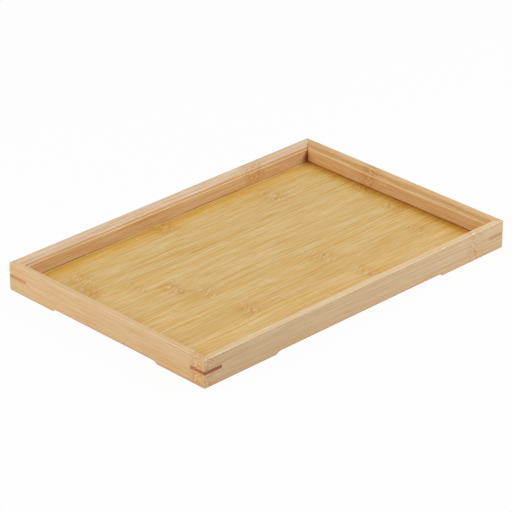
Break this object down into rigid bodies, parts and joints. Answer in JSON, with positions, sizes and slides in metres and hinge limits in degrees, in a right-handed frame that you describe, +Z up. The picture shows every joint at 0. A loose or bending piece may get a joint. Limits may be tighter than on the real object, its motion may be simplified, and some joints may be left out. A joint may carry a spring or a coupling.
{
  "type": "serving tray",
  "caption": "Low rectangular bamboo serving tray with mitred rails, dark wooden keys across the corners, a flat strip floor and shallow corner feet.",
  "frame": {"origin": "middle of the base, at the level of the feet's undersides", "axes": "+X along the long rails, +Y across to the back rail, +Z up out of the tray"},
  "size_m": [0.33, 0.22, 0.0235],
  "materials": {
    "rail_bamboo": "satin sanded bamboo",
    "key_dark_wood": "satin hardwood",
    "key_pale_wood": "satin hardwood",
    "floor_bamboo": "satin lacquered bamboo",
    "core_bamboo": "unfinished bamboo",
    "back_bamboo": "satin bamboo"
  },
  "bodies": {
    "root": {"rail_front": "rail_bamboo", "rail_back": "rail_bamboo", "rail_left": "rail_bamboo", "rail_right": "rail_bamboo", "key_front_left": "key_dark_wood", "key_front_right": "key_pale_wood", "key_back_left": "key_pale_wood", "key_back_right": "key_dark_wood", "face_strip_01": "floor_bamboo", "face_strip_02": "floor_bamboo", "face_strip_03": "floor_bamboo", "face_strip_04": "floor_bamboo", "face_strip_05": "floor_bamboo", "face_strip_06": "floor_bamboo", "face_strip_07": "floor_bamboo", "face_strip_08": "floor_bamboo", "face_strip_09": "floor_bamboo", "face_strip_10": "floor_bamboo", "core_strip_01": "core_bamboo", "core_strip_02": "core_bamboo", "core_strip_03": "core_bamboo", "core_strip_04": "core_bamboo", "core_strip_05": "core_bamboo", "core_strip_06": "core_bamboo", "core_strip_07": "core_bamboo", "core_strip_08": "core_bamboo", "core_strip_09": "core_bamboo", "core_strip_10": "core_bamboo", "core_strip_11": "core_bamboo", "core_strip_12": "core_bamboo", "core_strip_13": "core_bamboo", "core_strip_14": "core_bamboo", "core_strip_15": "core_bamboo", "core_strip_16": "core_bamboo", "back_strip_01": "back_bamboo", "back_strip_02": "back_bamboo", "back_strip_03": "back_bamboo", "back_strip_04": "back_bamboo", "back_strip_05": "back_bamboo", "back_strip_06": "back_bamboo", "back_strip_07": "back_bamboo", "back_strip_08": "back_bamboo", "back_strip_09": "back_bamboo", "back_strip_10": "back_bamboo"}
  },
  "joints": []
}
